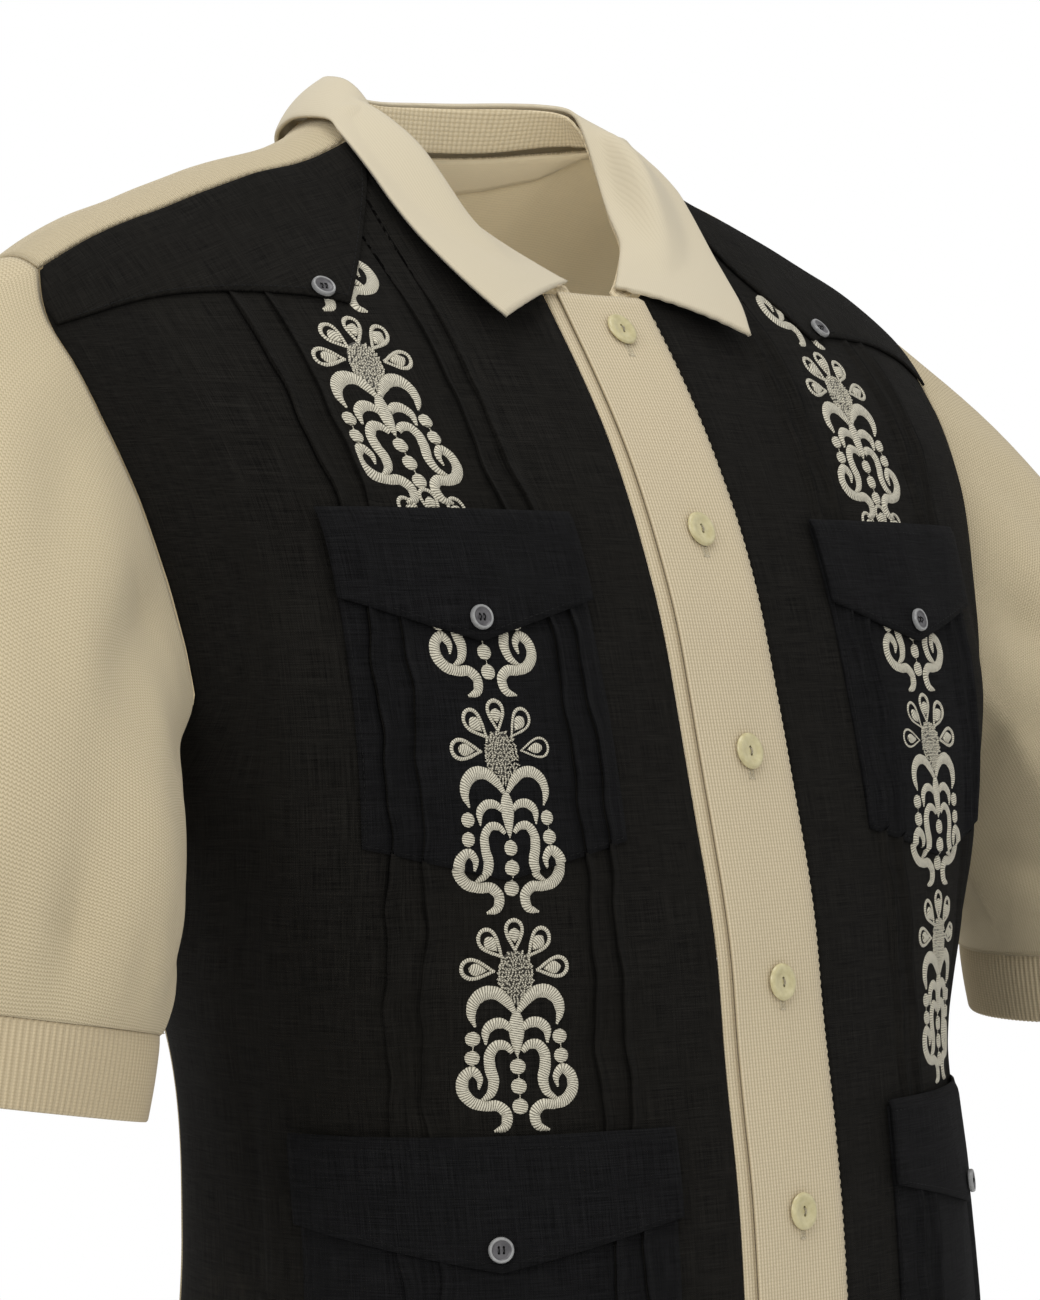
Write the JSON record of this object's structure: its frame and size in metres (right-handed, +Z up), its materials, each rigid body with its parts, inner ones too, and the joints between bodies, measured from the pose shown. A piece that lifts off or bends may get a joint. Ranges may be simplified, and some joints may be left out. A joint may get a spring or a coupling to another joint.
{
  "type": "embroidered short-sleeved shirt",
  "caption": "Short-sleeved button-front shirt in knit and dark linen, with collar, flapped pockets, pintucks and embroidered columns, worn and filled out.",
  "frame": {"origin": "centre of the neck at the height where the shoulder line meets the neck", "axes": "+X is the wearer's left, -Y the front, +Z up"},
  "size_m": [0.791, 0.3021, 0.7289],
  "materials": {
    "cream_knit": "fine jersey knit",
    "cream_rib": "one by one rib knit",
    "band_knit": "flat knit band",
    "black_linen": "slubby plain weave",
    "pocket_linen": "slubby plain weave",
    "dark_button": "turned, four holes",
    "pale_button": "turned, two holes"
  },
  "bodies": {
    "root": {"back": "cream_knit", "button_band_1": "pale_button", "button_band_2": "pale_button", "button_band_3": "pale_button", "button_band_4": "pale_button", "button_band_5": "pale_button", "button_band_6": "pale_button", "button_band_7": "pale_button", "button_chest_left": "dark_button", "button_chest_right": "dark_button", "button_lower_left": "dark_button", "button_lower_right": "dark_button", "button_yoke_left": "dark_button", "button_yoke_right": "dark_button", "collar": "band_knit", "collar_stand": "band_knit", "cuff_left": "cream_rib", "cuff_right": "cream_rib", "flap_chest_left": "pocket_linen", "flap_chest_right": "pocket_linen", "flap_lower_left": "pocket_linen", "flap_lower_right": "pocket_linen", "front_left": "black_linen", "front_right": "black_linen", "neck_tape": "cream_knit", "placket_over": "band_knit", "placket_under": "band_knit", "pocket_chest_left": "pocket_linen", "pocket_chest_right": "pocket_linen", "pocket_lower_left": "pocket_linen", "pocket_lower_right": "pocket_linen", "sleeve_left": "cream_knit", "sleeve_right": "cream_knit", "yoke_left": "black_linen", "yoke_right": "black_linen"}
  },
  "joints": []
}
